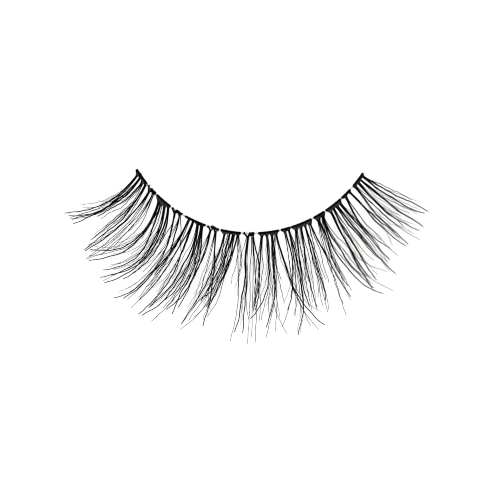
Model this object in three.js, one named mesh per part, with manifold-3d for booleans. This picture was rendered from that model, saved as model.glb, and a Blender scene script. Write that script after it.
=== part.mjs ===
// A strip of false eyelashes, in millimetres.
// It lies on its band with the hairs fanned out along -Y and their tips curled up along +Z.
// The origin is the middle of the band, on the flat underside of the middle tuft's knots.
// A fine thread runs the length of the band, and fifteen tufts are knotted on it. Wide tufts of four
// stems alternate with narrow ones of two. Each stem gathers below the knots and parts into locks.

import * as THREE from "three";
import { mergeVertices } from "three/addons/utils/BufferGeometryUtils.js";
import Module from "manifold-3d";

const wasm = await Module();
wasm.setup();

// Driving sizes of the band
const BAND_LENGTH = 32; // along the thread, from the first knot's end to the last one's
const BAND_HALF_ANGLE = THREE.MathUtils.degToRad(57.5); // how far each half bends round the eyelid's curve
const THREAD_DIAMETER = 0.12;
const THREAD_CLEARANCE = 0.03; // all round the thread, inside the knots
const THREAD_INSET = 0.06; // from the end of the last knot back to the end of the thread
const KNOT_WIDTH = 0.3; // across the band
const KNOT_HEIGHT = 0.26; // above the surface that the band lies on

// Driving sizes of the hair
const LASH_LENGTH = 13.5; // reach of the longest hair, seen from above
const WEB_DEPTH = 0.5; // from the thread to where a stem with a middling web has gathered
const STEM_WIDTH = 0.28; // where a stem is gathered below its web
const LOCK_WIDTH = 0.16; // of a lock where it leaves the stem
const LOCK_HEIGHT = 0.17;
const TIP_WIDTH = 0.07;
const TIP_HEIGHT = 0.05;
const HAIR_LIFT = 0.01; // from the knots' flat undersides up to the hair that lies flat

// How many flats make up each curve
const THREAD_SIDES = 8;
const THREAD_STEPS = 40;
const KNOT_STEP_ANGLE = THREE.MathUtils.degToRad(2.4);
const STEM_STEPS = 2;
const LOCK_STEPS = 5;

const BAND_RADIUS = BAND_LENGTH / (2 * BAND_HALF_ANGLE);
const THREAD_HEIGHT = KNOT_HEIGHT / 2; // of the thread's axis
const BORE_RADIUS = THREAD_DIAMETER / 2 + THREAD_CLEARANCE;

const HAIR_COLOUR = 0x1a1715;
const THREAD_COLOUR = 0xc4c5c3;

// How a kind of tuft curls: the share of its reach that lies flat, its tips' rise as a share of
// their reach, and how sharply it bends up. Narrow tufts bend up at once, so they pass over wide ones.
const CURLS = {
  wide: { flat: 0.3, rise: 0.31, bend: 2 },
  narrow: { flat: 0, rise: 0.38, bend: 1.6 },
};
const STEM_LIFT = 0.04; // every other stem of a tuft rises by this share of its reach more
const LOCK_LIFT = 0.01; // and each lock of a stem by this share more than the lock on its left
const PARTING = 0.2; // the share of its reach at which a stem parts into its locks

// The tufts, in order along the band. start and end are shares of half the band, -1 at its left end.
// Of each stem, at is its place as a share of half the band, lean its heading in degrees from straight
// out of the band, to the right, and gather how far from the thread it is gathered, as a share of
// WEB_DEPTH. Its locks follow from left to right, each as [reach, swing]: a share of LASH_LENGTH, and
// degrees to the right like lean.
const TUFTS = [
  {
    name: "lash_tuft_01", kind: "wide", start: -1, end: -0.87,
    stems: [
      { at: -0.97, lean: 23, gather: 1.06, locks: [[0.74, -4], [0.64, 1]] },
      { at: -0.94, lean: 23, gather: 0.7, locks: [[0.72, -6], [0.72, -1]] },
      { at: -0.905, lean: 27, gather: 1.2, locks: [[0.51, 0], [0.55, 12]] },
      { at: -0.88, lean: 30, gather: 0.63, locks: [[0.68, 6], [0.75, 8], [0.8, 11]] },
    ],
  },
  {
    name: "lash_tuft_02", kind: "narrow", start: -0.855, end: -0.775,
    stems: [
      { at: -0.825, lean: 20, gather: 0.96, locks: [[0.77, 1], [0.81, 4], [0.83, 7]] },
      { at: -0.79, lean: 24, gather: 0.61, locks: [[0.76, 0], [0.71, 4], [0.63, 10]] },
    ],
  },
  {
    name: "lash_tuft_03", kind: "wide", start: -0.76, end: -0.63,
    stems: [
      { at: -0.73, lean: 29, gather: 1.32, locks: [[0.76, -10], [0.83, -5]] },
      { at: -0.705, lean: 30, gather: 1.44, locks: [[0.8, 2], [0.58, 7], [0.55, 13]] },
      { at: -0.675, lean: 33, gather: 1.04, locks: [[0.87, -1], [0.88, 3]] },
      { at: -0.645, lean: 36, gather: 0.7, locks: [[0.79, -1], [0.76, 7]] },
    ],
  },
  {
    name: "lash_tuft_04", kind: "narrow", start: -0.61, end: -0.52,
    stems: [
      { at: -0.58, lean: 27, gather: 0.44, locks: [[0.94, 0], [0.47, 5]] },
      { at: -0.54, lean: 25, gather: 0.56, locks: [[0.61, 0], [0.59, 11], [0.58, 22]] },
    ],
  },
  {
    name: "lash_tuft_05", kind: "wide", start: -0.495, end: -0.33,
    stems: [
      { at: -0.46, lean: 5, gather: 0.37, locks: [[0.91, -11], [0.93, -6], [0.71, -3]] },
      { at: -0.425, lean: 5, gather: 0.39, locks: [[0.84, -9], [0.95, -5], [0.83, -1]] },
      { at: -0.39, lean: 17, gather: 0.63, locks: [[0.86, -6], [0.96, -1]] },
      { at: -0.355, lean: 15, gather: 0.65, locks: [[0.74, -5], [0.92, -2], [0.76, 6]] },
    ],
  },
  {
    name: "lash_tuft_06", kind: "narrow", start: -0.315, end: -0.225,
    stems: [
      { at: -0.285, lean: 4, gather: 0.61, locks: [[0.82, -14], [0.82, -10], [0.62, -5]] },
      { at: -0.245, lean: 7, gather: 0.85, locks: [[0.89, -4], [0.86, 8]] },
    ],
  },
  {
    name: "lash_tuft_07", kind: "wide", start: -0.21, end: -0.06,
    stems: [
      { at: -0.18, lean: 3, gather: 1.11, locks: [[0.94, -12], [0.6, -7]] },
      { at: -0.145, lean: -2, gather: 0.68, locks: [[0.86, -15], [0.66, -11]] },
      { at: -0.11, lean: -3, gather: 0.75, locks: [[0.82, -17], [0.7, -11], [0.51, -9]] },
      { at: -0.08, lean: 2, gather: 0.77, locks: [[0.79, -13], [0.95, 2], [0.41, 9]] },
    ],
  },
  {
    name: "lash_tuft_08", kind: "narrow", start: -0.04, end: 0.04,
    stems: [
      { at: -0.004, lean: -7, gather: 0.87, locks: [[0.87, -6], [0.87, -2], [0.76, 1]] },
      { at: 0.025, lean: 4, gather: 0.63, locks: [[0.97, -3], [0.9, -1], [0.95, 2]] },
    ],
  },
  {
    name: "lash_tuft_09", kind: "wide", start: 0.07, end: 0.225,
    stems: [
      { at: 0.1, lean: -10, gather: 0.99, locks: [[0.7, -12], [0.68, -9], [0.77, -6]] },
      { at: 0.135, lean: 0, gather: 1.08, locks: [[0.77, -17], [0.69, -12], [0.74, -7]] },
      { at: 0.17, lean: -3, gather: 1.23, locks: [[0.84, -13], [0.93, -11], [0.87, -7]] },
      { at: 0.198, lean: -4, gather: 1.08, locks: [[0.75, -9], [0.88, 11], [0.91, 18]] },
    ],
  },
  {
    name: "lash_tuft_10", kind: "narrow", start: 0.24, end: 0.315,
    stems: [
      { at: 0.265, lean: 0, gather: 0.92, locks: [[0.85, -16], [0.7, -12], [0.77, -6]] },
      { at: 0.295, lean: 3, gather: 0.75, locks: [[0.94, -10], [0.65, -5], [0.66, 0]] },
    ],
  },
  {
    name: "lash_tuft_11", kind: "wide", start: 0.32, end: 0.48,
    stems: [
      { at: 0.355, lean: -13, gather: 1.32, locks: [[0.59, -14], [0.72, -11], [0.76, -8]] },
      { at: 0.39, lean: -14, gather: 1.2, locks: [[0.6, -16], [0.76, -11]] },
      { at: 0.42, lean: -6, gather: 1.39, locks: [[0.67, -11], [0.71, -8], [0.79, -5]] },
      { at: 0.455, lean: -3, gather: 1.44, locks: [[0.53, -12], [0.57, -8], [0.76, 4]] },
    ],
  },
  {
    name: "lash_tuft_12", kind: "narrow", start: 0.5, end: 0.59,
    stems: [
      { at: 0.53, lean: -13, gather: 1.54, locks: [[0.8, -14], [0.79, -8]] },
      { at: 0.57, lean: -19, gather: 1.08, locks: [[0.8, 2], [0.92, 10], [0.76, 16]] },
    ],
  },
  {
    name: "lash_tuft_13", kind: "wide", start: 0.605, end: 0.745,
    stems: [
      { at: 0.635, lean: -10, gather: 1.35, locks: [[0.83, -9], [0.69, -5]] },
      { at: 0.665, lean: -9, gather: 1.04, locks: [[0.75, -6], [0.6, -2]] },
      { at: 0.69, lean: 0, gather: 1.32, locks: [[0.6, -2], [0.76, 1], [0.81, 4]] },
      { at: 0.72, lean: 0, gather: 1.11, locks: [[0.54, -3], [0.68, 1], [0.38, 4]] },
    ],
  },
  {
    name: "lash_tuft_14", kind: "narrow", start: 0.755, end: 0.845,
    stems: [
      { at: 0.79, lean: -19, gather: 0.8, locks: [[0.67, -14], [0.61, -7], [0.7, -2]] },
      { at: 0.83, lean: -2, gather: 0.73, locks: [[0.61, -9], [0.6, -4], [0.69, 0]] },
    ],
  },
  {
    name: "lash_tuft_15", kind: "wide", start: 0.88, end: 1,
    stems: [
      { at: 0.89, lean: -10, gather: 1.01, locks: [[0.7, -9], [0.68, -4], [0.75, 0]] },
      { at: 0.925, lean: -9, gather: 0.85, locks: [[0.57, -6], [0.69, -1]] },
      { at: 0.95, lean: -4, gather: 0.77, locks: [[0.7, -2], [0.59, 4]] },
      { at: 0.98, lean: -1, gather: 0.89, locks: [[0.64, 3], [0.66, 7], [0.49, 10]] },
    ],
  },
];

// The outward direction in plan at an angle along the band, turned by a swing to the right.
function headingAt(angle, swing = 0) {
  const turned = angle + swing;
  return new THREE.Vector3(Math.sin(turned), -Math.cos(turned), 0);
}

// A point of the band at an angle along it, a distance out from the thread and a height up.
function bandPoint(angle, out, height) {
  return headingAt(angle)
    .multiplyScalar(BAND_RADIUS + out)
    .add(new THREE.Vector3(0, BAND_RADIUS, height));
}

class BandLine extends THREE.Curve {
  constructor(start, end) {
    super();
    this.start = start;
    this.end = end;
  }

  getPoint(share, target = new THREE.Vector3()) {
    const angle = THREE.MathUtils.lerp(this.start, this.end, share);
    return target.copy(bandPoint(angle, 0, THREAD_HEIGHT));
  }
}

// The line down the middle of a lock: in plan a bow from the thread to the tip, in height a curl.
class LockLine extends THREE.Curve {
  constructor(stem, reach, swing, curl) {
    super();
    const root = bandPoint(stem.angle, 0, 0);
    const tip = root.clone().add(headingAt(stem.angle, swing).multiplyScalar(reach));
    const belly = reach / 2 / Math.cos(stem.lean - swing);
    const middle = root.clone().add(headingAt(stem.angle, stem.lean).multiplyScalar(belly));
    this.plan = new THREE.QuadraticBezierCurve3(root, middle, tip);
    this.reach = reach;
    this.curl = curl;
  }

  getPoint(share, target = new THREE.Vector3()) {
    this.plan.getPoint(share, target);
    const { flat, rise, bend } = this.curl;
    const risen = Math.max(0, (share - flat) / (1 - flat)) ** bend;
    target.z = HAIR_LIFT + hairHeightAt(share) / 2 + rise * this.reach * risen;
    return target;
  }

  // The lock's middle at a share of its length, with the directions to its right and up from it.
  frameAt(share) {
    const along = this.getTangent(share);
    const side = new THREE.Vector3(0, 0, 1).cross(along).normalize();
    return { middle: this.getPoint(share), side, rise: along.clone().cross(side) };
  }
}

function taper(root, tip, share) {
  return root + (tip - root) * share ** 1.4;
}

function hairHeightAt(share) {
  return taper(LOCK_HEIGHT, TIP_HEIGHT, share);
}

function cornerAt(frame, across, up) {
  return frame.middle.clone().addScaledVector(frame.side, across).addScaledVector(frame.rise, up);
}

// The mean of the frames of a stem's lock lines, which run together up to where they part.
function sharedFrame(lines, share) {
  const frames = lines.map((line) => line.frameAt(share));
  const mean = (key) =>
    frames.reduce((sum, frame) => sum.add(frame[key]), new THREE.Vector3()).divideScalar(frames.length);
  return { middle: mean("middle"), side: mean("side").normalize(), rise: mean("rise").normalize() };
}

// A closed surface, put together from rings of corners that run left, top, right, bottom.
class Skin {
  constructor() {
    this.corners = [];
    this.triangles = [];
  }

  ring(points) {
    return points.map((point) => this.corners.push(...point.toArray()) / 3 - 1);
  }

  // Joins two rings corner by corner. A corner that comes twice in the next ring closes a triangle.
  join(ring, next) {
    ring.forEach((corner, i) => {
      const j = (i + 1) % ring.length;
      this.triangles.push(corner, next[j], ring[j]);
      if (next[i] !== next[j]) this.triangles.push(corner, next[i], next[j]);
    });
  }

  closeFront(ring) {
    for (let i = 1; i < ring.length - 1; i += 1) this.triangles.push(ring[0], ring[i + 1], ring[i]);
  }

  closeBack(ring) {
    for (let i = 1; i < ring.length - 1; i += 1) this.triangles.push(ring[0], ring[i], ring[i + 1]);
  }

  geometry() {
    const geometry = new THREE.BufferGeometry();
    geometry.setAttribute("position", new THREE.Float32BufferAttribute(this.corners, 3));
    geometry.setIndex(this.triangles);
    return geometry;
  }
}

// One stem: a blade that leaves the knots and parts into its locks, each tapering to its tip.
function stemGeometry(stem, curl) {
  const count = stem.locks.length;
  const lines = stem.locks.map(([reach, swing], i) => {
    const rise = curl.rise + stem.lift + i * LOCK_LIFT;
    return new LockLine(stem, reach * LASH_LENGTH, THREE.MathUtils.degToRad(swing), { ...curl, rise });
  });
  const seams = count === 1 ? [0.5] : stem.locks.slice(1).map((_, i) => (i + 1) / count);
  const partedWidth = Math.max(count * LOCK_WIDTH, STEM_WIDTH);
  const rootShare = (BORE_RADIUS + KNOT_WIDTH / 2) / 2 / (stem.locks[0][0] * LASH_LENGTH);
  const skin = new Skin();

  const stemCorners = (share) => {
    const frame = sharedFrame(lines, share);
    const gathered = (share - rootShare) / (PARTING - rootShare);
    const width = THREE.MathUtils.lerp(STEM_WIDTH, partedWidth, gathered);
    const half = hairHeightAt(share) / 2;
    const across = (seam) => (seam - 0.5) * width;
    return {
      left: cornerAt(frame, across(0), 0),
      tops: seams.map((seam) => cornerAt(frame, across(seam), half)),
      right: cornerAt(frame, across(1), 0),
      bottoms: seams.map((seam) => cornerAt(frame, across(seam), -half)),
      forks: seams.map((seam) => cornerAt(frame, across(seam), 0)),
    };
  };
  const ringOf = ({ left, tops, right, bottoms }) =>
    skin.ring([left, ...tops, right, ...[...bottoms].reverse()]);

  let ring = ringOf(stemCorners(rootShare));
  skin.closeBack(ring);
  for (let step = 1; step <= STEM_STEPS; step += 1) {
    const next = ringOf(stemCorners(THREE.MathUtils.lerp(rootShare, PARTING, step / STEM_STEPS)));
    skin.join(ring, next);
    ring = next;
  }

  const [left, right] = [ring[0], ring[seams.length + 1]];
  const tops = ring.slice(1, seams.length + 1);
  const bottoms = ring.slice(seams.length + 2).reverse();
  const forks = count === 1 ? [] : skin.ring(stemCorners(PARTING).forks);
  lines.forEach((line, i) => {
    const first = i === 0;
    const last = i === count - 1;
    const seam = Math.min(i, seams.length - 1);
    // The corners that this lock starts from, and which of its four corners each of them runs to.
    const start = [first ? left : forks[i - 1]];
    const runsTo = [0];
    const startFrom = (corner, quarter) => {
      start.push(corner);
      runsTo.push(quarter);
    };
    if (!first) startFrom(tops[i - 1], 1);
    if (first || !last) startFrom(tops[seam], 1);
    startFrom(last ? right : forks[i], 2);
    if (first || !last) startFrom(bottoms[seam], 3);
    if (!first) startFrom(bottoms[i - 1], 3);
    let lockRing = start;
    let order = runsTo;
    for (let step = 1; step <= LOCK_STEPS; step += 1) {
      const run = step / LOCK_STEPS;
      const share = THREE.MathUtils.lerp(PARTING, 1, run);
      const frame = line.frameAt(share);
      const beside = (i - (count - 1) / 2) * LOCK_WIDTH * (1 - run);
      const half = taper(count === 1 ? STEM_WIDTH : LOCK_WIDTH, TIP_WIDTH, run) / 2;
      const tall = hairHeightAt(share) / 2;
      const quad = skin.ring([
        cornerAt(frame, beside - half, 0),
        cornerAt(frame, beside, tall),
        cornerAt(frame, beside + half, 0),
        cornerAt(frame, beside, -tall),
      ]);
      skin.join(lockRing, order.map((corner) => quad[corner]));
      lockRing = quad;
      order = [0, 1, 2, 3];
    }
    skin.closeFront(lockRing);
  });
  return skin.geometry();
}

function solidOf(geometry) {
  const bare = geometry.clone();
  bare.deleteAttribute("normal");
  bare.deleteAttribute("uv");
  const merged = mergeVertices(bare, 1e-4);
  return new wasm.Manifold(
    new wasm.Mesh({
      numProp: 3,
      vertProperties: new Float32Array(merged.attributes.position.array),
      triVerts: new Uint32Array(merged.index.array),
    }),
  );
}

function geometryOf(solid) {
  const { vertProperties, triVerts } = solid.getMesh();
  const geometry = new THREE.BufferGeometry();
  geometry.setAttribute("position", new THREE.BufferAttribute(vertProperties, 3));
  geometry.setIndex(new THREE.BufferAttribute(triVerts, 1));
  const flat = geometry.toNonIndexed();
  flat.computeVertexNormals();
  return flat;
}

// A bar wrapped round the band through stations, each with its angle along the band, how far its
// outer side is drawn out beyond the section, and how far that side is shifted along the band.
function barSolid(section, stations) {
  const steps = stations.length - 1;
  const bar = new THREE.ExtrudeGeometry(section, { depth: 1, steps, bevelEnabled: false });
  const corners = bar.attributes.position;
  for (let i = 0; i < corners.count; i += 1) {
    // The bar is laid from the last station back to the first, which keeps its faces outward.
    const { angle, drawn, shift } = stations[steps - Math.round(corners.getZ(i) * steps)];
    const outward = Math.max(0, corners.getX(i)) / (KNOT_WIDTH / 2);
    const turned = angle + (shift * outward) / BAND_RADIUS;
    const point = bandPoint(turned, corners.getX(i) + drawn * outward, corners.getY(i));
    corners.setXYZ(i, point.x, point.y, point.z);
  }
  return solidOf(bar);
}

// The knots' section across the band: a flat underside and a rounded back.
function knotSection() {
  const half = KNOT_WIDTH / 2;
  const section = new THREE.Shape();
  section.moveTo(-half * 0.8, 0);
  section.lineTo(half * 0.8, 0);
  section.lineTo(half, KNOT_HEIGHT * 0.45);
  section.lineTo(half * 0.5, KNOT_HEIGHT);
  section.lineTo(-half * 0.5, KNOT_HEIGHT);
  section.lineTo(-half, KNOT_HEIGHT * 0.45);
  section.closePath();
  return section;
}

function boreSection() {
  const section = new THREE.Shape();
  for (let i = 0; i < THREAD_SIDES; i += 1) {
    const turn = ((i + 0.5) / THREAD_SIDES) * 2 * Math.PI;
    const x = BORE_RADIUS * Math.cos(turn);
    const y = THREAD_HEIGHT + BORE_RADIUS * Math.sin(turn);
    if (i === 0) section.moveTo(x, y);
    else section.lineTo(x, y);
  }
  section.closePath();
  return section;
}

// The knots and the webs of hair below them: the bar's outer side is drawn out to each stem and
// comes back to the band between the stems.
function headSolid(stems, start, end) {
  const plain = (angle) => ({ angle, drawn: 0, shift: 0 });
  const stations = [plain(start)];
  stems.forEach((stem, i) => {
    const room = stem.room * BAND_RADIUS;
    const half = Math.min(STEM_WIDTH / 2, room * 0.7);
    const drawn = Math.max(0, stem.gather - KNOT_WIDTH / 2);
    const shift = THREE.MathUtils.clamp(drawn * Math.tan(stem.lean), half - room * 0.9, room * 0.9 - half);
    const halfAngle = half / BAND_RADIUS;
    stations.push({ angle: stem.angle - halfAngle, drawn, shift });
    stations.push({ angle: stem.angle + halfAngle, drawn, shift });
    const next = stems[i + 1];
    stations.push(plain(next ? (stem.angle + next.angle) / 2 : end));
  });
  return barSolid(knotSection(), stations);
}

// The bore for the thread. It runs a little past both ends of the knots, so that it opens there.
function boreSolid(start, end) {
  const past = THREAD_INSET / BAND_RADIUS;
  const steps = Math.max(2, Math.round((end - start) / KNOT_STEP_ANGLE));
  const stations = Array.from({ length: steps + 1 }, (_, i) => {
    return { angle: THREE.MathUtils.lerp(start - past, end + past, i / steps), drawn: 0, shift: 0 };
  });
  return barSolid(boreSection(), stations);
}

// The stems of a tuft in radians, with the room that each has on the band to either side.
function stemsOf(tuft) {
  return tuft.stems.map((stem, i) => {
    const before = i === 0 ? tuft.start : (tuft.stems[i - 1].at + stem.at) / 2;
    const after = i === tuft.stems.length - 1 ? tuft.end : (stem.at + tuft.stems[i + 1].at) / 2;
    return {
      locks: stem.locks,
      angle: stem.at * BAND_HALF_ANGLE,
      lean: THREE.MathUtils.degToRad(stem.lean),
      gather: stem.gather * WEB_DEPTH,
      lift: i % 2 === 0 ? 0 : STEM_LIFT,
      room: Math.min(stem.at - before, after - stem.at) * BAND_HALF_ANGLE,
    };
  });
}

function tuftSolid(tuft) {
  const start = tuft.start * BAND_HALF_ANGLE;
  const end = tuft.end * BAND_HALF_ANGLE;
  const stems = stemsOf(tuft);
  let solid = headSolid(stems, start, end);
  for (const stem of stems) solid = solid.add(solidOf(stemGeometry(stem, CURLS[tuft.kind])));
  return solid.subtract(boreSolid(start, end));
}

function threadGeometry() {
  const end = BAND_HALF_ANGLE - THREAD_INSET / BAND_RADIUS;
  const section = new THREE.Shape();
  section.absarc(0, 0, THREAD_DIAMETER / 2, 0, 2 * Math.PI, false);
  return new THREE.ExtrudeGeometry(section, {
    curveSegments: THREAD_SIDES / 2,
    steps: THREAD_STEPS,
    extrudePath: new BandLine(-end, end),
    bevelEnabled: false,
  });
}

function hairMaterial() {
  return new THREE.MeshStandardMaterial({ color: HAIR_COLOUR, roughness: 0.55, metalness: 0 });
}

function threadMaterial() {
  return new THREE.MeshStandardMaterial({ color: THREAD_COLOUR, roughness: 0.3, metalness: 0 });
}

function named(name, geometry, material) {
  const mesh = new THREE.Mesh(geometry, material);
  mesh.name = name;
  return mesh;
}

const strip = new THREE.Group();
strip.add(named("band_thread", threadGeometry(), threadMaterial()));
for (const tuft of TUFTS) {
  strip.add(named(tuft.name, geometryOf(tuftSolid(tuft)), hairMaterial()));
}

export default strip;
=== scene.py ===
"""A strip of false eyelashes lying on a pale surface, seen from straight above.

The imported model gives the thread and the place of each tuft. Here each tuft is made of single
tapering hairs, wound round the thread at the root, gathered in stems and fanned out to wispy points.
Sizes are in millimetres and become metres where a mesh is made. Those of the room are in metres.
"""

import math
import random

import bpy
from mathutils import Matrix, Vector


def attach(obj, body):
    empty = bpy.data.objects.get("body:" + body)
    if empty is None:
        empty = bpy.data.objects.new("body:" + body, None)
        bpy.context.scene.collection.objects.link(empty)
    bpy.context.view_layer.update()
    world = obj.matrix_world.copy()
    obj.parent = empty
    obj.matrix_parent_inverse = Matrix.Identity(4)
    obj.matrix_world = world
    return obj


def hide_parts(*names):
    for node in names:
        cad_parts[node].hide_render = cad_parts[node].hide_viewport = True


MM = 0.001
UP = Vector((0.0, 0.0, 1.0))

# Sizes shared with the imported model
BAND_LENGTH = 32.0
BAND_HALF_ANGLE = math.radians(57.5)
THREAD_DIAMETER = 0.12
KNOT_WIDTH = 0.3
KNOT_HEIGHT = 0.26
LASH_LENGTH = 13.5
WEB_DEPTH = 0.5
STEM_WIDTH = 0.28
STEM_HEIGHT = 0.17
HAIR_LIFT = 0.01
BAND_RADIUS = BAND_LENGTH / (2 * BAND_HALF_ANGLE)
THREAD_HEIGHT = KNOT_HEIGHT / 2

# How thick the hairs are
HAIR_DIAMETER = 0.135  # the leading hair of a lock
COMPANION_DIAMETER = 0.05  # the hairs that run beside it
SINGLE_DIAMETER = 0.07  # a hair that runs alone
FINE_DIAMETER = 0.045  # a stray
ROOT_DIAMETER = 0.085  # the least inside a stem, where glue coats the hairs
STOUT_UNTIL = 0.08  # between these shares of its reach a hair goes down to its own thickness
THIN_FROM = 0.3
TIP_SHARE = 0.6  # of a hair's thickness, at its tip
TAPER = 3  # the higher, the later it tapers
WINDING_DIAMETER = 0.08  # hair wound round the thread
LOOP_DIAMETER = 0.16  # a few hairs in a loose loop

# How finely the hairs are made
HAIR_SIDES = 6
HAIR_STEPS = 64
ROOT_CROWDING = 0.6  # 0 spaces the steps evenly, and 1 crowds them to the root
WINDING_SIDES = 5
TURN_STEPS = 10  # for each turn round the thread
LOOP_STEPS = 16
NEARLY_UPRIGHT = 0.9  # past this slope a tube's first ring is set square to the x axis

# How the hairs lie in a stem
LANE_WIDTH = 0.25  # between neighbouring locks, once they have left the stem
LANE_START = 0.06  # between these shares of their reach they move apart
LANE_END = 0.45
TANGLE = 0.4  # how far the locks are out of order, from 0 to 1
FAN_SHARE = 0.4  # how much of its turn from the stem's middle a lock takes at the root
BOW_SCALE = 6.75  # makes the bow the greatest distance from the straight line
LOCK_SPACING = 0.05  # between the leading hair and its companions
SPLAY_BEND = 1.5
HOOK_START = 0.7  # the share of its reach at which a tip begins to hook
STRAYS = 1  # for each stem
LANE_JITTER = 0.3  # in lanes
ARM_JITTER = 0.3  # in hairs

# The ranges that the irregularities of each lock and hair are drawn from
WAVE_SIZE = (0.03, 0.1)  # how far a lock wanders to the side
WAVE_COUNT = (0.8, 2.0)  # and how often
TWIST_SIZE = (0.01, 0.06)  # the same for a hair within its lock
TWIST_COUNT = (1.0, 3.0)
CRIMP_SIZE = (0.01, 0.035)  # and for its fine crimp
CRIMP_COUNT = (5.0, 9.0)
HOOK_SIZE = 0.15  # the usual distance that a tip hooks to the side
EXTRA_RISE = (-0.01, 0.02)  # of a tip, as a share of the reach
SPLAY_SIZE = (0.05, 0.32)  # how far a companion has parted from the leading hair at its tip
SPLAY_START = (0.3, 0.8)  # and the share of its reach at which it begins to
COMPANION_REACH = (0.75, 0.98)  # as a share of the leading hair's
STRAY_REACH = (0.5, 0.9)  # as a share of the reach of the lock that it strays from
STRAY_SWING = 3.0  # the usual degrees that it strays by

# The knots
WINDINGS = {
    "tight": {"pitch": 1.05, "bulge": 0.0108},  # pitch in winding diameters, bulge in millimetres
    "loose": {"pitch": 1.2, "bulge": 0.0288},
}
LEAST_TURNS = 2
BULGE_COUNT = 7.3  # sets how often the windings bulge
BULGE_PHASE = 40  # sets where, from tuft to tuft
LOOP_TILT = (0.2, 0.5)
ARM_SHARE = 0.75  # how far a loose stem's two arms reach, as a share of its room on the band
ARM_DEPTH = 0.42  # the least distance from the thread at which they meet
ARM_WINDING = 0.2  # the length of band that the end arm is wound on

# The webs of hair and glue below the knots
WEB_SPREAD = 1.7  # of the hairs at the thread, as a share of the stem's room there
WEB_STEPS = 5  # to each side of a stem
WEB_COLUMNS = 5  # across the web
WEB_INNER = 0.43  # from the thread in to the inner edge, as a share of KNOT_WIDTH
WEB_OUTER = 0.35  # from the thread out to the outer edge, where the web isn't drawn out
WEB_HEIGHT = 0.95  # of the web's inner edge, as a share of the thread's
WEB_THICKNESS = (0.1, 0.06)  # half of it, at the inner and at the outer edge
WEB_UNEVENNESS = (0.85, 1.15)
WEB_EDGE = 0.4  # the share of its thickness that an edge keeps
ARCH_REACH = 1.15  # over 1, the arch between two stems has a flat top
ARCH_BEND = 0.9
END_ARCH_BEND = 1.3  # at the first end of a tuft

# How a kind of tuft curls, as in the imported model
CURLS = {
    "wide": {"flat": 0.3, "rise": 0.31, "bend": 2.0},
    "narrow": {"flat": 0.0, "rise": 0.38, "bend": 1.6},
}
STEM_LIFT = 0.04  # added to the rise of every second stem

# The colours, each from the darkest to the palest
HAIR_TONES = ((0.002, 0.0015, 0.001), (0.012, 0.0085, 0.0055))
KNOT_TONES = ((0.03, 0.025, 0.021), (0.16, 0.137, 0.118))
THREAD_TONES = ((0.62, 0.61, 0.59), (0.86, 0.86, 0.85))
FLOOR_TONES = ((0.24, 0.24, 0.24), (0.26, 0.26, 0.26))

# The room, in metres and watts. The floor glows like a light table, so the hairs cast hardly a shadow.
FLOOR_HALF = 1.5
FLOOR_GLOW = 0.78
ROOM_LIGHT = 0.95
LIGHT_SIZE = 0.5
LIGHTS = [
    {"name": "key", "place": (-0.35, 0.25, 0.5), "watts": 0.7},
    {"name": "fill", "place": (0.4, -0.2, 0.45), "watts": 0.35},
]

# The photograph's frame: what its middle shows, how wide a field, and how far the part is turned
VIEW_MIDDLE = (0.16, -1.97)
VIEW_WIDTH = 59.45
VIEW_TURN = math.radians(0.9)
CAMERA_HEIGHT = 600.0
SENSOR_WIDTH = 36.0
VIEW_RANGE = (0.01, 10.0)  # in metres
VIEW_GAMMA = 0.7  # the photograph's strong contrast
PIXEL_FILTER = 1.1  # and its crispness

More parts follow.
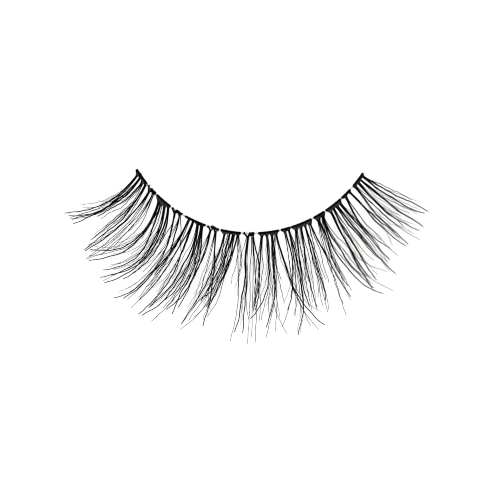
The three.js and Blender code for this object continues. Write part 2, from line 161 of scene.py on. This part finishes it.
# The tufts along the band. start and end are shares of half the band, -1 at its left end, and fill
# is the share of the web that is closed between the stems. A stem's at is a share of half the band
# too, lean its heading in degrees to the right, and gather how far from the thread its hairs have
# come together, as a share of WEB_DEPTH. Its locks follow: reach is a share of LASH_LENGTH, swing
# degrees to the right, bow how far the lock bellies to the right, in hundredths of its reach, and
# count the number of its hairs.
STEM_COLUMNS = ("at", "lean", "gather", "locks")
LOCK_COLUMNS = ("reach", "swing", "bow", "count")
TUFTS = [
    {
        "name": "lash_tuft_01", "kind": "wide", "start": -1.0, "end": -0.87, "fill": 0.3,
        "stems": [
            (-0.97, 23, 1.06, [(0.74, -4, -1, 2), (0.71, 0, -1, 1), (0.72, 4, 0, 2)]),
            (-0.94, 23, 0.7, [(0.72, -6, 0, 2), (0.71, -2, -3, 2), (0.72, -4, 1, 1)]),
            (-0.905, 27, 1.2, [(0.51, 0, -2, 2), (0.51, 4, -1, 1), (0.55, 12, -1, 1)]),
            (-0.88, 30, 0.63, [(0.68, 7, -3, 2), (0.79, 9, -2, 3), (0.75, 10, 0, 1)]),
        ],
    },
    {
        "name": "lash_tuft_02", "kind": "narrow", "start": -0.855, "end": -0.775, "fill": 0.0,
        "stems": [
            (-0.825, 20, 0.96, [(0.79, 2, 0, 2), (0.83, 5, 0, 1), (0.80, 7, 1, 1)]),
            (-0.79, 24, 0.61, [(0.63, 10, 3, 1), (0.71, 4, 1, 1), (0.76, 0, 0, 1), (0.83, 2, 2, 1)]),
        ],
    },
    {
        "name": "lash_tuft_03", "kind": "wide", "start": -0.76, "end": -0.63, "fill": 0.8,
        "stems": [
            (-0.73, 29, 1.32, [(0.83, -5, 0, 2), (0.76, -10, 4, 2), (0.79, -8, 2, 1)]),
            (-0.705, 30, 1.44, [(0.80, 2, 8, 3), (0.58, 6, -3, 1), (0.55, 13, 0, 1)]),
            (-0.675, 33, 1.04, [(0.87, -1, 4, 2), (0.88, 3, 1, 2), (0.87, 1, 0, 1)]),
            (-0.645, 36, 0.7, [(0.79, -1, 1, 2), (0.76, 7, 0, 2), (0.67, 8, 0, 1)]),
        ],
    },
    {
        "name": "lash_tuft_04", "kind": "narrow", "start": -0.61, "end": -0.52, "fill": 0.0,
        "stems": [
            (-0.58, 27, 0.44, [(0.94, 0, 3, 3), (0.47, 3, -4, 1)]),
            (-0.54, 25, 0.56, [(0.61, 0, -2, 1), (0.59, 11, 0, 2), (0.58, 25, 5, 1)]),
        ],
    },
    {
        "name": "lash_tuft_05", "kind": "wide", "start": -0.495, "end": -0.33, "fill": 0.2,
        "stems": [
            (-0.46, 5, 0.37, [
                (0.91, -11, 0, 2), (0.89, -10, -1, 1), (0.82, -6, 0, 1), (0.93, -6, 0, 1),
                (0.71, -5, 0, 1),
            ]),
            (-0.425, 5, 0.39, [(0.84, -9, 0, 2), (0.95, -5, 4, 2), (0.83, -2, 0, 1)]),
            (-0.39, 17, 0.63, [(0.86, -6, -1, 3), (0.96, -6, 0, 2), (0.96, -1, 0, 1)]),
            (-0.355, 15, 0.65, [(0.74, -4, 2, 2), (0.76, 6, 0, 2), (0.82, 1, 0, 2), (0.92, -3, 0, 1)]),
        ],
    },
    {
        "name": "lash_tuft_06", "kind": "narrow", "start": -0.315, "end": -0.225, "fill": 0.0,
        "stems": [
            (-0.285, 4, 0.61, [(0.82, -10, 2, 3), (0.82, -14, 0, 1), (0.62, -5, 0, 1)]),
            (-0.245, 7, 0.85, [(0.86, 8, 3, 3), (0.89, -4, 2, 1), (0.71, 9, -2, 1)]),
        ],
    },
    {
        "name": "lash_tuft_07", "kind": "wide", "start": -0.21, "end": -0.06, "fill": 0.4,
        "stems": [
            (-0.18, 3, 1.11, [(0.90, -13, -3, 2), (0.95, -12, 4, 1), (0.76, -11, 0, 1)]),
            (-0.145, -2, 0.68, [(0.66, -13, 1, 2), (0.86, -15, 0, 1), (0.50, -8, 0, 1)]),
            (-0.11, -3, 0.75, [(0.68, -18, 3, 3), (0.70, -11, 0, 2), (0.82, -17, 2, 1)]),
            (-0.08, 2, 0.77, [
                (0.71, -15, -3, 2), (0.79, -14, 0, 1), (0.45, -1, 0, 1), (0.41, 9, 0, 1),
                (0.95, 2, 3, 1),
            ]),
        ],
    },
    {
        "name": "lash_tuft_08", "kind": "narrow", "start": -0.04, "end": 0.04, "fill": 0.0,
        "stems": [
            (-0.004, -7, 0.87, [(0.87, -2, 2, 2), (0.76, 1, 0, 1), (0.87, -6, 3, 2)]),
            (0.025, 4, 0.63, [(0.67, 3, 3, 2), (0.97, -3, 0, 1), (0.90, -2, 0, 1), (0.95, 1, 0, 1)]),
        ],
    },
    {
        "name": "lash_tuft_09", "kind": "wide", "start": 0.07, "end": 0.225, "fill": 0.3,
        "stems": [
            (0.1, -10, 0.99, [(0.68, -9, -1, 2), (0.70, -12, 0, 1), (0.77, -6, 0, 1)]),
            (0.135, 0, 1.08, [(0.77, -17, 5, 2), (0.77, -10, 0, 1), (0.74, -7, 0, 1)]),
            (0.17, -3, 1.23, [(0.84, -12, 4, 3), (0.93, -12, 2, 1), (0.87, -7, 0, 1), (0.90, -1, -8, 1)]),
            (0.198, -4, 1.08, [
                (0.92, 18, -4, 2), (0.94, 13, -2, 1), (0.88, 11, 0, 1), (0.43, -6, 0, 1),
                (0.75, -9, 0, 1), (0.64, -4, 0, 1),
            ]),
        ],
    },
    {
        "name": "lash_tuft_10", "kind": "narrow", "start": 0.24, "end": 0.315, "fill": 0.0,
        "stems": [
            (0.265, 0, 0.92, [(0.71, -12, 3, 2), (0.85, -16, 4, 1), (0.77, -6, 0, 1)]),
            (0.295, 3, 0.75, [(0.94, -10, 2, 3), (0.78, -9, 0, 1), (0.77, -12, 0, 1), (0.66, 0, 0, 1)]),
        ],
    },
    {
        "name": "lash_tuft_11", "kind": "wide", "start": 0.32, "end": 0.48, "fill": 0.3,
        "stems": [
            (0.355, -13, 1.32, [(0.72, -11, -1, 3), (0.59, -14, 0, 1), (0.76, -9, 0, 1)]),
            (0.39, -14, 1.2, [(0.76, -12, 0, 3), (0.54, -14, 0, 1), (0.74, -11, 2, 1)]),
            (0.42, -6, 1.39, [
                (0.71, -8, 1, 3), (0.75, -11, 0, 1), (0.79, -7, 0, 1), (0.67, -11, 0, 1),
                (0.81, -9, 0, 1),
            ]),
            (0.455, -3, 1.44, [(0.76, 4, -2, 3), (0.57, -8, 0, 1), (0.53, -12, 0, 1)]),
        ],
    },
    {
        "name": "lash_tuft_12", "kind": "narrow", "start": 0.5, "end": 0.59, "fill": 0.3,
        "stems": [
            (0.53, -13, 1.54, [(0.67, -7, -2, 3), (0.79, -8, 0, 1), (0.80, -14, 0, 1), (0.91, -14, 0, 1)]),
            (0.57, -19, 1.08, [
                (0.88, 5, -3, 3), (0.92, 10, 0, 1), (0.72, -10, 0, 1), (0.62, -14, 0, 1),
                (0.76, 16, 0, 1), (0.80, 2, 2, 2),
            ]),
        ],
    },
    {
        "name": "lash_tuft_13", "kind": "wide", "start": 0.605, "end": 0.745, "fill": 0.6,
        "stems": [
            (0.635, -10, 1.35, [(0.69, -6, -2, 3), (0.79, -8, 0, 2), (0.83, -8, 0, 1)]),
            (0.665, -9, 1.04, [(0.75, -6, 0, 3), (0.59, -6, 0, 1), (0.60, -2, 0, 1)]),
            (0.69, 0, 1.32, [(0.81, 2, -2, 3), (0.60, -1, 0, 2), (0.76, 1, 0, 1)]),
            (0.72, 0, 1.11, [(0.38, 2, -1, 2), (0.54, -3, 0, 1), (0.68, 1, 0, 2)]),
        ],
    },
    {
        "name": "lash_tuft_14", "kind": "narrow", "start": 0.755, "end": 0.845, "fill": 0.2,
        "stems": [
            (0.79, -19, 0.8, [(0.61, -5, -3, 2), (0.70, -3, 0, 1), (0.67, -14, 6, 1), (0.71, -14, 5, 1)]),
            (0.83, -2, 0.73, [(0.69, -1, -4, 2), (0.61, -9, 5, 1), (0.60, 0, 0, 2)]),
        ],
    },
    {
        "name": "lash_tuft_15", "kind": "wide", "start": 0.88, "end": 1.0, "fill": 0.5,
        "stems": [
            (0.89, -10, 1.01, [(0.70, -9, 0, 3), (0.68, -1, 0, 1), (0.75, -1, 0, 1)]),
            (0.925, -9, 0.85, [(0.69, -1, -3, 3), (0.57, -6, 0, 2)]),
            (0.95, -4, 0.77, [(0.70, -1, 0, 3), (0.59, 4, 0, 1), (0.54, -1, 0, 1)]),
            (0.98, -1, 0.89, [(0.64, 3, -2, 3), (0.66, 7, 0, 2), (0.49, 8, 5, 1)]),
        ],
    },
]

# Loose loops of hair in the knots, each (at, out, long, wide). at is a share of half the band, and
# the rest are shares of KNOT_WIDTH. out is the distance of the loop's middle from the thread, with
# minus on the inner side.
LOOPS = {
    "lash_tuft_01": [(-0.988, 0.2, 1.3, 0.5), (-0.955, -0.1, 1.2, 0.6)],
    "lash_tuft_02": [(-0.813, 0.35, 1.15, 1.1), (-0.785, 0.2, 1.5, 0.6)],
    "lash_tuft_04": [(-0.566, 0.15, 1.1, 1.0)],
    "lash_tuft_06": [(-0.274, -0.25, 1.4, 0.75)],
    "lash_tuft_08": [(0.012, 0.4, 1.1, 1.0)],
}


def heading(angle, swing=0.0):
    """The outward direction in plan at an angle along the band, turned by a swing to the right."""
    return Vector((math.sin(angle + swing), -math.cos(angle + swing), 0.0))


def along_band(angle):
    return Vector((math.cos(angle), math.sin(angle), 0.0))


def band_point(angle, out, height):
    return heading(angle) * (BAND_RADIUS + out) + Vector((0.0, BAND_RADIUS, height))


def smooth(low, high, value):
    """Goes from 0 at low to 1 at high, with no kink at either."""
    t = min(1.0, max(0.0, (value - low) / (high - low)))
    return t * t * (3.0 - 2.0 * t)


def mix(a, b, t):
    return a + (b - a) * t


class Strand:
    """Points and faces of one piece, gathered tube by tube, with each point's tone."""

    HAIR = 0  # the places of the two materials
    KNOT = 1

    def __init__(self):
        self.points = []
        self.faces = []
        self.tones = []
        self.materials = []

    def add_point(self, point, tone=0.0):
        self.points.append(point * MM)
        self.tones.append(tone)
        return len(self.points) - 1

    def add_face(self, corners, material):
        self.faces.append(corners)
        self.materials.append(material)

    def tube(self, path, radii, tone, sides=HAIR_SIDES, closed=False):
        """A round tube along a path, closed at both ends, or joined end to end."""
        count = len(path)
        rings = []
        normal = None
        for i, middle in enumerate(path):
            before = path[(i - 1) % count] if closed else path[max(0, i - 1)]
            after = path[(i + 1) % count] if closed else path[min(count - 1, i + 1)]
            along = (after - before).normalized()
            if normal is None:
                guide = Vector((1.0, 0.0, 0.0)) if abs(along.z) > NEARLY_UPRIGHT else UP
                normal = along.cross(guide).normalized()
            normal = (normal - along * normal.dot(along)).normalized()
            across = along.cross(normal)
            ring = []
            for k in range(sides):
                turn = 2.0 * math.pi * k / sides
                corner = middle + (normal * math.cos(turn) + across * math.sin(turn)) * radii[i]
                ring.append(self.add_point(corner, tone))
            rings.append(ring)
        pairs = list(zip(rings, rings[1:]))
        if closed:
            pairs.append((rings[-1], rings[0]))
        for ring, following in pairs:
            for k in range(sides):
                j = (k + 1) % sides
                self.add_face((ring[k], ring[j], following[j], following[k]), self.HAIR)
        if not closed:
            self.add_face(tuple(reversed(rings[0])), self.HAIR)
            self.add_face(tuple(rings[-1]), self.HAIR)

    def sheet(self, rows):
        """A closed sheet of knots from rows of (top, bottom) points."""
        tops = [[self.add_point(top) for top, _ in row] for row in rows]
        bottoms = [[self.add_point(bottom) for _, bottom in row] for row in rows]
        for r in range(len(rows) - 1):
            for c in range(len(rows[0]) - 1):
                top = (tops[r][c], tops[r][c + 1], tops[r + 1][c + 1], tops[r + 1][c])
                bottom = (bottoms[r][c], bottoms[r + 1][c], bottoms[r + 1][c + 1], bottoms[r][c + 1])
                self.add_face(top, self.KNOT)
                self.add_face(bottom, self.KNOT)
        for r in range(len(rows) - 1):
            for c in (0, -1):
                wall = (tops[r][c], tops[r + 1][c], bottoms[r + 1][c], bottoms[r][c])
                self.add_face(wall if c == 0 else tuple(reversed(wall)), self.KNOT)
        for c in range(len(rows[0]) - 1):
            for r in (0, -1):
                wall = (tops[r][c + 1], tops[r][c], bottoms[r][c], bottoms[r][c + 1])
                self.add_face(wall if r == 0 else tuple(reversed(wall)), self.KNOT)

    def build(self, name, materials):
        mesh = bpy.data.meshes.new(name)
        mesh.from_pydata([tuple(p) for p in self.points], [], self.faces)
        for material in materials:
            mesh.materials.append(material)
        mesh.polygons.foreach_set("material_index", self.materials)
        mesh.polygons.foreach_set("use_smooth", [True] * len(self.faces))
        tone = mesh.attributes.new("tone", "FLOAT", "POINT")
        tone.data.foreach_set("value", self.tones)
        mesh.update()
        piece = bpy.data.objects.new(name, mesh)
        bpy.context.scene.collection.objects.link(piece)
        return piece


def step_share(i, steps):
    """The share of its reach that a hair has come to at one of its steps."""
    t = i / steps
    return mix(t, t * t, ROOT_CROWDING)


def wander(size, count, phase, share):
    return size * math.sin(2 * math.pi * (count * share + phase))


def sideways(lock, hair, share):
    """How far to the right of its plain curve a hair lies, at a share of its reach."""
    freed = smooth(LANE_START, LANE_END, share)
    parted = max(0.0, (share - hair["leaves"]) / (1 - hair["leaves"]))
    aside = lock["bow"] * hair["reach"] * BOW_SCALE * share**2 * (1 - share)
    aside += lock["slot"] * (1 - share) ** 2
    aside += lock["lane"] * freed * (1 - share)
    aside += wander(lock["wave"], lock["waves"], lock["phase"], share) * freed
    aside += hair["beside"]
    aside += wander(hair["twist"], hair["twists"], hair["phase"], share) * freed
    aside += wander(hair["crimp"], hair["crimps"], hair["crimp_phase"], share) * freed
    aside += hair["splay"] * parted**SPLAY_BEND
    aside += hair["hook"] * smooth(HOOK_START, 1.0, share) ** 2
    return aside


def hair_path(stem, lock, hair, curl):
    """The middle line of one hair, from the thread to its tip."""
    angle, lean, reach = stem["angle"], stem["lean"] + lock["opens"], hair["reach"]
    root = band_point(angle, 0.0, 0.0)
    tip = root + heading(angle, lock["swing"]) * reach
    middle = root + heading(angle, lean) * reach / 2.0 / math.cos(lean - lock["swing"])
    path = []
    for i in range(HAIR_STEPS + 1):
        s = step_share(i, HAIR_STEPS)
        plan = root * (1 - s) ** 2 + middle * (2 * s * (1 - s)) + tip * s * s
        ahead = ((middle - root) * (1 - s) + (tip - middle) * s).normalized()
        right = Vector((-ahead.y, ahead.x, 0.0))
        plan += right * sideways(lock, hair, s)
        rooted = 1 - smooth(0.0, stem["gather"], s * reach)
        if stem["arms"]:
            rooted = max(0.0, 1 - s * reach / stem["gather"])
        plan += along_band(angle) * hair["fan"] * rooted
        share = max(0.0, (s - curl["flat"]) / (1 - curl["flat"]))
        rise = curl["rise"] + stem["lift"] + hair["lift"]
        stem_z = HAIR_LIFT + STEM_HEIGHT / 2 + hair["stack"] * (1 - s)
        plan.z = mix(stem_z, THREAD_HEIGHT, rooted) + rise * reach * share ** curl["bend"]
        path.append(plan)
    return path


def hair_radii(thick):
    """Stout in the stem, where glue binds the hairs, then even, and finer towards the tip."""
    radii = []
    for i in range(HAIR_STEPS + 1):
        share = step_share(i, HAIR_STEPS)
        body = mix(max(thick, ROOT_DIAMETER), thick, smooth(STOUT_UNTIL, THIN_FROM, share))
        radii.append(mix(body, thick * TIP_SHARE, (i / HAIR_STEPS) ** TAPER) / 2)
    return radii


def new_lock(swing, opens, bow, chance):
    return {
        "swing": math.radians(swing),
        "opens": math.radians(opens) * FAN_SHARE,
        "bow": bow / 100,
        "wave": chance.uniform(*WAVE_SIZE),
        "waves": chance.uniform(*WAVE_COUNT),
        "phase": chance.random(),
        "hairs": [],
    }


def new_hair(reach, thick, chance, beside=0.0, leaves=0.0, splay=0.0):
    return {
        "reach": reach * LASH_LENGTH,
        "thick": thick,
        "beside": beside,
        "leaves": leaves,
        "splay": splay,
        "twist": chance.uniform(*TWIST_SIZE),
        "twists": chance.uniform(*TWIST_COUNT),
        "phase": chance.random(),
        "hook": chance.gauss(0.0, HOOK_SIZE),
        "lift": chance.uniform(*EXTRA_RISE),
        "tone": chance.random(),
        "crimp": chance.uniform(*CRIMP_SIZE),
        "crimps": chance.uniform(*CRIMP_COUNT),
        "crimp_phase": chance.random(),
    }


def lock_of(row, centre, chance):
    """A leading hair, with companions that run beside it and part from it near their tips."""
    lock = new_lock(row["swing"], row["swing"] - centre, row["bow"], chance)
    thick = HAIR_DIAMETER if row["count"] > 1 else SINGLE_DIAMETER
    lock["hairs"].append(new_hair(row["reach"], thick, chance))
    side = chance.choice((-1, 1))
    for _ in range(1, row["count"]):
        splay = side * chance.uniform(*SPLAY_SIZE)
        shorter = row["reach"] * chance.uniform(*COMPANION_REACH)
        leaves = chance.uniform(*SPLAY_START)
        companion = new_hair(shorter, COMPANION_DIAMETER, chance, side * LOCK_SPACING, leaves, splay)
        lock["hairs"].append(companion)
        side = -side
    return lock


def stray_of(rows, centre, chance):
    row = chance.choice(rows)
    swing = row["swing"] + chance.gauss(0.0, STRAY_SWING)
    lock = new_lock(swing, swing - centre, row["bow"], chance)
    lock["hairs"].append(new_hair(row["reach"] * chance.uniform(*STRAY_REACH), FINE_DIAMETER, chance))
    return lock


def stem_locks(stem, chance):
    """The locks of a stem, one for each row, and its strays, set side by side in the stem."""
    rows = stem["locks"]
    swings = [row["swing"] for row in rows]
    centre = (min(swings) + max(swings)) / 2
    locks = [lock_of(row, centre, chance) for row in rows]
    locks += [stray_of(rows, centre, chance) for _ in range(STRAYS)]
    locks.sort(key=lambda lock: lock["swing"])
    last = max(1, len(locks) - 1)
    number = 0
    for i, lock in enumerate(locks):
        ordered = i / last - 0.5
        place = mix(ordered, chance.uniform(-0.5, 0.5), TANGLE)
        lock["slot"] = place * STEM_WIDTH
        lock["lane"] = (place * last + chance.gauss(0.0, LANE_JITTER)) * LANE_WIDTH
        for hair in lock["hairs"]:
            hair["fan"] = (ordered + chance.uniform(-0.5, 0.5) / last) * stem["room"] * WEB_SPREAD
            if stem["arms"]:
                jitter = chance.uniform(-ARM_JITTER, ARM_JITTER) * HAIR_DIAMETER
                hair["fan"] = stem["arms"][number % 2] + jitter
            number += 1
            hair["stack"] = chance.uniform(-0.5, 0.5) * (STEM_HEIGHT - HAIR_DIAMETER)
    return locks


def add_windings(strand, start, end, wound, chance):
    """Hair wound round the thread from one angle to another, with uneven bulges."""
    pitch = WINDING_DIAMETER * wound["pitch"]
    length = (end - start) * BAND_RADIUS
    turns = max(LEAST_TURNS, int(length / pitch))
    steps = turns * TURN_STEPS
    snug = THREAD_DIAMETER / 2 + WINDING_DIAMETER / 2
    path = []
    for i in range(steps + 1):
        t = i / steps
        turn = 2 * math.pi * turns * t
        bulge = wound["bulge"] * (1 + math.sin(BULGE_COUNT * turns * t + start * BULGE_PHASE))
        radius = snug + bulge
        height = max(THREAD_HEIGHT + bulge + radius * math.sin(turn), WINDING_DIAMETER / 2)
        path.append(band_point(mix(start, end, t), radius * math.cos(turn), height))
    radii = [WINDING_DIAMETER / 2] * len(path)
    strand.tube(path, radii, chance.random(), sides=WINDING_SIDES)


def add_loop(strand, at, out, long, wide, chance):
    """A loose loop of hair that stands out of a knot and comes back to it."""
    angle = at * BAND_HALF_ANGLE
    middle = band_point(angle, out * KNOT_WIDTH, THREAD_HEIGHT + WINDING_DIAMETER)
    tilt = chance.uniform(*LOOP_TILT)
    path = []
    for i in range(LOOP_STEPS):
        turn = 2 * math.pi * i / LOOP_STEPS
        ahead = along_band(angle) * math.cos(turn) * long * KNOT_WIDTH / 2
        aside = heading(angle) * math.sin(turn) * wide * KNOT_WIDTH / 2
        risen = UP * math.sin(turn) * tilt * wide * KNOT_WIDTH / 2
        path.append(middle + ahead + aside + risen)
    strand.tube(path, [LOOP_DIAMETER / 2] * LOOP_STEPS, chance.random(), closed=True)


def web_stations(tuft, stems):
    """Angles along a tuft, each with its nearest stem and how far the web is drawn out to it,
    from 0 on the band to 1 at the stem."""
    start, end = ends_of(tuft)
    stations = []
    for i, stem in enumerate(stems):
        first = i == 0
        last = i == len(stems) - 1
        before = start if first else (stems[i - 1]["angle"] + stem["angle"]) / 2
        after = end if last else (stem["angle"] + stems[i + 1]["angle"]) / 2
        for k in range(-WEB_STEPS, WEB_STEPS + 1):
            far = abs(k) / WEB_STEPS
            angle = mix(stem["angle"], before if k < 0 else after, far)
            lowest = 0.0 if k > 0 and last else tuft["fill"]
            drawn = mix(1.0, lowest, min(1.0, far * ARCH_REACH) ** ARCH_BEND)
            if k < 0 and first:
                drawn = 1.0 - far**END_ARCH_BEND
            stations.append((angle, stem, drawn))
    return stations


def add_web(strand, tuft, stems, chance):
    """The web of hair and glue below the knots, drawn out to each stem and arched between them."""
    rows = []
    for angle, stem, drawn in web_stations(tuft, stems):
        inner = -KNOT_WIDTH * WEB_INNER
        outer = KNOT_WIDTH * WEB_OUTER + max(0.0, drawn * (stem["gather"] - KNOT_WIDTH / 2))
        row = []
        for c in range(WEB_COLUMNS + 1):
            across = c / WEB_COLUMNS
            out = mix(inner, outer, across)
            turned = angle + max(0.0, out) * math.tan(stem["lean"]) * drawn / BAND_RADIUS
            thick = mix(*WEB_THICKNESS, across) * chance.uniform(*WEB_UNEVENNESS)
            if c in (0, WEB_COLUMNS):
                thick *= WEB_EDGE
            middle = mix(THREAD_HEIGHT * WEB_HEIGHT, HAIR_LIFT + STEM_HEIGHT / 2, across)
            top = band_point(turned, out, middle + thick)
            bottom = band_point(turned, out, max(0.0, middle - thick))
            row.append((top, bottom))
        rows.append(row)
    strand.sheet(rows)


def is_loose(tuft):
    """Whether a tuft hangs on loose knots instead of a closed web."""
    return tuft["name"] in LOOPS and tuft["kind"] == "narrow"


def ends_of(tuft):
    return tuft["start"] * BAND_HALF_ANGLE, tuft["end"] * BAND_HALF_ANGLE


def stems_of(tuft):
    """The stems of a tuft, with the room that each has on the band. A loose one has two arms
    instead of a web, each given as its distance along the band from the stem."""
    rows = [dict(zip(STEM_COLUMNS, row)) for row in tuft["stems"]]
    stems = []
    for i, row in enumerate(rows):
        at, gather, arms = row["at"], row["gather"] * WEB_DEPTH, []
        before = tuft["start"] if i == 0 else (rows[i - 1]["at"] + at) / 2
        after = tuft["end"] if i == len(rows) - 1 else (at + rows[i + 1]["at"]) / 2
        if is_loose(tuft):
            gather = max(ARM_DEPTH, gather)
            arms = [(side - at) * ARM_SHARE * BAND_LENGTH / 2 for side in (before, after)]
        stems.append(
            {
                "angle": at * BAND_HALF_ANGLE,
                "lean": math.radians(row["lean"]),
                "lift": STEM_LIFT * (i % 2),
                "room": min(at - before, after - at) * BAND_LENGTH / 2,
                "gather": gather,
                "arms": arms,
                "locks": [dict(zip(LOCK_COLUMNS, lock)) for lock in row["locks"]],
            }
        )
    return stems


def make_tuft(tuft, materials):
    chance = random.Random(tuft["name"])
    strand = Strand()
    stems = stems_of(tuft)
    start, end = ends_of(tuft)
    if is_loose(tuft):
        first_end = start + ARM_WINDING / BAND_RADIUS
        second_start = stems[0]["angle"] + (stems[0]["arms"][1] - ARM_WINDING / 2) / BAND_RADIUS
        add_windings(strand, start, first_end, WINDINGS["loose"], chance)
        add_windings(strand, second_start, end, WINDINGS["loose"], chance)
    else:
        add_windings(strand, start, end, WINDINGS["tight"], chance)
        add_web(strand, tuft, stems, chance)
    for loop in LOOPS.get(tuft["name"], []):
        add_loop(strand, *loop, chance)
    for stem in stems:
        for lock in stem_locks(stem, chance):
            for hair in lock["hairs"]:
                path = hair_path(stem, lock, hair, CURLS[tuft["kind"]])
                strand.tube(path, hair_radii(hair["thick"]), hair["tone"])
    piece = strand.build(tuft["name"].replace("lash_tuft", "lashes"), materials)
    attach(piece, "root")
    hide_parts(tuft["name"])


def new_material(name):
    material = bpy.data.materials.new(name)
    material.use_nodes = True
    nodes, links = material.node_tree.nodes, material.node_tree.links
    return material, nodes, links, nodes["Principled BSDF"]


def add_noise(nodes, links, scale, detail):
    """A noise of so many grains to the metre, fixed to the piece."""
    place = nodes.new("ShaderNodeTexCoord")
    noise = nodes.new("ShaderNodeTexNoise")
    noise.inputs["Scale"].default_value = scale
    noise.inputs["Detail"].default_value = detail
    links.new(place.outputs["Object"], noise.inputs["Vector"])
    return noise.outputs["Fac"]


def add_colours(nodes, links, shader, driver, tones, start=0.0, end=1.0):
    """Colours the surface from the first tone to the second as the driver goes from start to end."""
    ramp = nodes.new("ShaderNodeValToRGB")
    low, high = ramp.color_ramp.elements
    low.position = start
    low.color = (*tones[0], 1.0)
    high.position = end
    high.color = (*tones[1], 1.0)
    links.new(driver, ramp.inputs["Fac"])
    links.new(ramp.outputs["Color"], shader.inputs["Base Color"])


def add_grain(nodes, links, shader, noise, roughness, strength, depth):
    """Lets the noise set the roughness between two values, and a bump of a depth in millimetres."""
    spread = nodes.new("ShaderNodeMapRange")
    spread.inputs["To Min"].default_value = roughness[0]
    spread.inputs["To Max"].default_value = roughness[1]
    bump = nodes.new("ShaderNodeBump")
    bump.inputs["Strength"].default_value = strength
    bump.inputs["Distance"].default_value = depth * MM
    links.new(noise, spread.inputs["Value"])
    links.new(spread.outputs["Result"], shader.inputs["Roughness"])
    links.new(noise, bump.inputs["Height"])
    links.new(bump.outputs["Normal"], shader.inputs["Normal"])


def hair_material():
    """Near-black fibre: each hair has its own tone, and its skin is finely mottled."""
    material, nodes, links, shader = new_material("lash_hair")
    tone = nodes.new("ShaderNodeAttribute")
    tone.attribute_name = "tone"
    noise = add_noise(nodes, links, scale=6000.0, detail=3.0)
    add_colours(nodes, links, shader, tone.outputs["Fac"], HAIR_TONES)
    add_grain(nodes, links, shader, noise, roughness=(0.32, 0.6), strength=0.25, depth=0.004)
    shader.inputs["Specular IOR Level"].default_value = 0.08
    return material


def knot_material():
    """Dark glue over packed hair: rough, mottled and a little glossier than the hair."""
    material, nodes, links, shader = new_material("lash_knot")
    noise = add_noise(nodes, links, scale=9000.0, detail=4.0)
    add_colours(nodes, links, shader, noise, KNOT_TONES, start=0.3, end=0.75)
    add_grain(nodes, links, shader, noise, roughness=(0.28, 0.55), strength=0.6, depth=0.02)
    shader.inputs["Specular IOR Level"].default_value = 0.2
    return material


def thread_material():
    """Clear nylon line, faintly clouded."""
    material, nodes, links, shader = new_material("clear_thread")
    noise = add_noise(nodes, links, scale=5000.0, detail=2.0)
    add_colours(nodes, links, shader, noise, THREAD_TONES)
    add_grain(nodes, links, shader, noise, roughness=(0.12, 0.3), strength=0.2, depth=0.005)
    shader.inputs["Transmission Weight"].default_value = 0.7
    shader.inputs["IOR"].default_value = 1.53
    return material


def floor_material():
    """A pale, matt surface that is lit from below."""
    material, nodes, links, shader = new_material("pale_floor")
    noise = add_noise(nodes, links, scale=40.0, detail=2.0)
    add_colours(nodes, links, shader, noise, FLOOR_TONES)
    shader.inputs["Emission Color"].default_value = (1.0, 1.0, 1.0, 1.0)
    shader.inputs["Emission Strength"].default_value = FLOOR_GLOW
    shader.inputs["Roughness"].default_value = 0.9
    shader.inputs["Specular IOR Level"].default_value = 0.0
    return material


def make_floor():
    mesh = bpy.data.meshes.new("floor")
    corners = [(x * FLOOR_HALF, y * FLOOR_HALF, 0.0) for x, y in ((-1, -1), (1, -1), (1, 1), (-1, 1))]
    mesh.from_pydata(corners, [], [(0, 1, 2, 3)])
    mesh.materials.append(floor_material())
    floor = bpy.data.objects.new("floor", mesh)
    bpy.context.scene.collection.objects.link(floor)


def make_lights():
    world = bpy.data.worlds.new("soft_room")
    world.use_nodes = True
    background = world.node_tree.nodes["Background"]
    background.inputs["Color"].default_value = (1.0, 1.0, 1.0, 1.0)
    background.inputs["Strength"].default_value = ROOM_LIGHT
    bpy.context.scene.world = world
    for row in LIGHTS:
        light = bpy.data.lights.new(row["name"], "AREA")
        light.energy = row["watts"]
        light.size = LIGHT_SIZE
        lamp = bpy.data.objects.new(row["name"], light)
        lamp.location = row["place"]
        lamp.rotation_euler = (-Vector(row["place"])).to_track_quat("-Z", "Y").to_euler()
        bpy.context.scene.collection.objects.link(lamp)


def make_camera():
    data = bpy.data.cameras.new("camera")
    data.sensor_width = SENSOR_WIDTH
    data.lens = SENSOR_WIDTH * CAMERA_HEIGHT / VIEW_WIDTH
    data.clip_start, data.clip_end = VIEW_RANGE
    camera = bpy.data.objects.new("camera", data)
    camera.location = (VIEW_MIDDLE[0] * MM, VIEW_MIDDLE[1] * MM, CAMERA_HEIGHT * MM)
    camera.rotation_euler = (0.0, 0.0, VIEW_TURN)
    bpy.context.scene.collection.objects.link(camera)
    bpy.context.scene.camera = camera


def set_view():
    scene = bpy.context.scene
    scene.view_settings.view_transform = "Standard"
    scene.view_settings.gamma = VIEW_GAMMA
    scene.cycles.filter_width = PIXEL_FILTER


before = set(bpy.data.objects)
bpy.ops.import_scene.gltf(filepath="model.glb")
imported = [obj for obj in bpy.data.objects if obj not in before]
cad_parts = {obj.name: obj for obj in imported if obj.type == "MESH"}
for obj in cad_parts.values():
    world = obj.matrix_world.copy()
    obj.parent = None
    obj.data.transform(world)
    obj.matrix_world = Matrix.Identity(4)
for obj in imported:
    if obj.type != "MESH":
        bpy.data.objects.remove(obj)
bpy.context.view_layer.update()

hair_look = [hair_material(), knot_material()]
for tuft in TUFTS:
    make_tuft(tuft, hair_look)
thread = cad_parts["band_thread"]
thread.data.materials.clear()
thread.data.materials.append(thread_material())
make_floor()
make_lights()
make_camera()
set_view()
